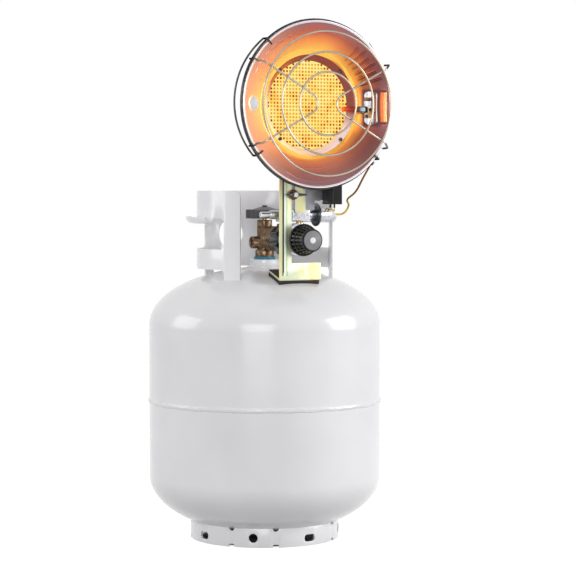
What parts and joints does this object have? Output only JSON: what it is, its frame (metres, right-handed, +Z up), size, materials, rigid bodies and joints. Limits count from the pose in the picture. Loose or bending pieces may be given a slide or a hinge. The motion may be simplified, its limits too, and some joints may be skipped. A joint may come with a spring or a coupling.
{
  "type": "propane heater",
  "caption": "Tank-top radiant propane heater: round burner and reflector behind a wire guard, carried on a regulator and bracket on a white steel gas cylinder.",
  "frame": {"origin": "centre of the foot ring's bottom, on the cylinder's axis", "axes": "+Z up along the cylinder's axis; the reflector, regulator and knob face -Y; +X is to the right of someone facing the reflector"},
  "size_m": [0.313, 0.3387, 0.684],
  "materials": {
    "white_enamel": "powder-coated steel, semi-gloss",
    "forged_brass": "dull forged brass",
    "bright_brass": "turned brass",
    "teal_sealant": "thread sealant",
    "grey_nylon": "moulded",
    "black_nylon": "moulded, satin",
    "cap_grey": "moulded, fine grain",
    "die_cast_zinc": "as cast, tumbled",
    "yellow_zinc": "zinc plated, yellow passivated",
    "reflector_steel": "pressed stainless steel, satin",
    "bezel_steel": "pressed stainless steel",
    "aluminised_steel": "aluminised sheet, dull",
    "guard_wire": "nickel-chrome plated wire",
    "hot_ceramic": "perforated cordierite, glowing",
    "fibre_gasket": "pressed ceramic fibre",
    "dark_steel": "black oxide",
    "bright_steel": "machined, nickel plated",
    "copper": "drawn copper, tarnished",
    "black_rubber": "moulded rubber",
    "hot_probe": "heat-coloured alloy, glowing tip",
    "spring_steel": "drawn wire",
    "float_foam": "closed-cell nitrile foam"
  },
  "bodies": {
    "heater": {"tank_lower_shell": "white_enamel", "tank_upper_shell": "white_enamel", "weld_band": "white_enamel", "foot_ring": "white_enamel", "collar": "white_enamel", "neck_boss": "white_enamel", "thread_seal": "teal_sealant", "tank_valve_body": "forged_brass", "valve_bonnet": "forged_brass", "relief_valve": "forged_brass", "dip_tube": "bright_brass", "opd_housing": "bright_brass", "inlet_nipple": "bright_brass", "nipple_seal": "black_rubber", "regulator_body": "die_cast_zinc", "diaphragm": "black_rubber", "regulator_cover": "die_cast_zinc", "regulator_spring": "spring_steel", "outlet_nipple": "bright_brass", "safety_valve_body": "die_cast_zinc", "button_sleeve": "die_cast_zinc", "button_spring": "spring_steel", "valve_clamp": "dark_steel", "thermocouple_nut": "bright_steel", "gas_jet": "bright_brass", "mixing_tube": "aluminised_steel", "burner_box": "aluminised_steel", "plaque_gasket": "fibre_gasket", "ceramic_plaque": "hot_ceramic", "burner_bezel": "bezel_steel", "bezel_screws": "dark_steel", "reflector": "reflector_steel", "thermocouple_bracket": "bright_steel", "thermocouple_probe": "hot_probe", "thermocouple_lead": "copper", "lead_clip": "dark_steel", "guard_inner_ring": "guard_wire", "guard_middle_ring": "guard_wire", "guard_outer_ring": "guard_wire", "guard_hairpin_left": "guard_wire", "guard_hairpin_right": "guard_wire", "guard_base_ring": "guard_wire", "guard_side_arcs": "guard_wire", "head_channel": "aluminised_steel", "tilt_switch": "black_nylon", "switch_leads": "copper"},
    "handwheel": {"valve_handwheel": "grey_nylon", "handwheel_screw": "dark_steel", "valve_stem": "bright_brass"},
    "knob": {"control_knob": "black_nylon", "knob_cap": "cap_grey", "knob_shaft": "bright_steel"},
    "button": {"safety_button": "bright_steel"},
    "nut": {"coupling_nut": "black_nylon"},
    "clamp_screw": {"wing_screw": "dark_steel"},
    "bracket": {"support_bracket": "yellow_zinc", "rubber_foot": "black_rubber"},
    "bleeder": {"bleeder_screw": "bright_brass"},
    "overfill_float": {"float_arm": "bright_steel", "tank_float": "float_foam"}
  },
  "joints": [
    {"name": "handwheel_turn", "type": "hinge", "parent": "heater", "child": "handwheel", "pos_m": [0, 0, 0.434], "axis": [0, 0, 1], "range_deg": [-540, 0]},
    {"name": "knob_turn", "type": "hinge", "parent": "heater", "child": "knob", "pos_m": [0, -0.125, 0.4015], "axis": [0, -1, 0], "range_deg": [-270, 0]},
    {"name": "button_press", "type": "slide", "parent": "heater", "child": "button", "axis": [1, 0, 0], "range_m": [0, 0.006], "stiffness_N_per_m": 400, "springref_m": -0.002, "deforming": ["button_spring"]},
    {"name": "nut_turn", "type": "hinge", "parent": "heater", "child": "nut", "pos_m": [0, -0.066, 0.4015], "axis": [0, -1, 0], "continuous": true},
    {"name": "clamp_screw_turn", "type": "hinge", "parent": "heater", "child": "clamp_screw", "pos_m": [-0.01, -0.106, 0.46], "axis": [0, -1, 0], "continuous": true},
    {"name": "bracket_slide", "type": "slide", "parent": "heater", "child": "bracket", "axis": [0, 0, 1], "range_m": [0, 0.015]},
    {"name": "bleeder_turn", "type": "hinge", "parent": "heater", "child": "bleeder", "pos_m": [-0.0117, -0.0117, 0.3935], "axis": [-0.7071, -0.7071, 0], "range_deg": [0, 360]},
    {"name": "float_swing", "type": "hinge", "parent": "heater", "child": "overfill_float", "pos_m": [0, 0, 0.326], "axis": [0, -1, 0], "range_deg": [0, 75]}
  ]
}
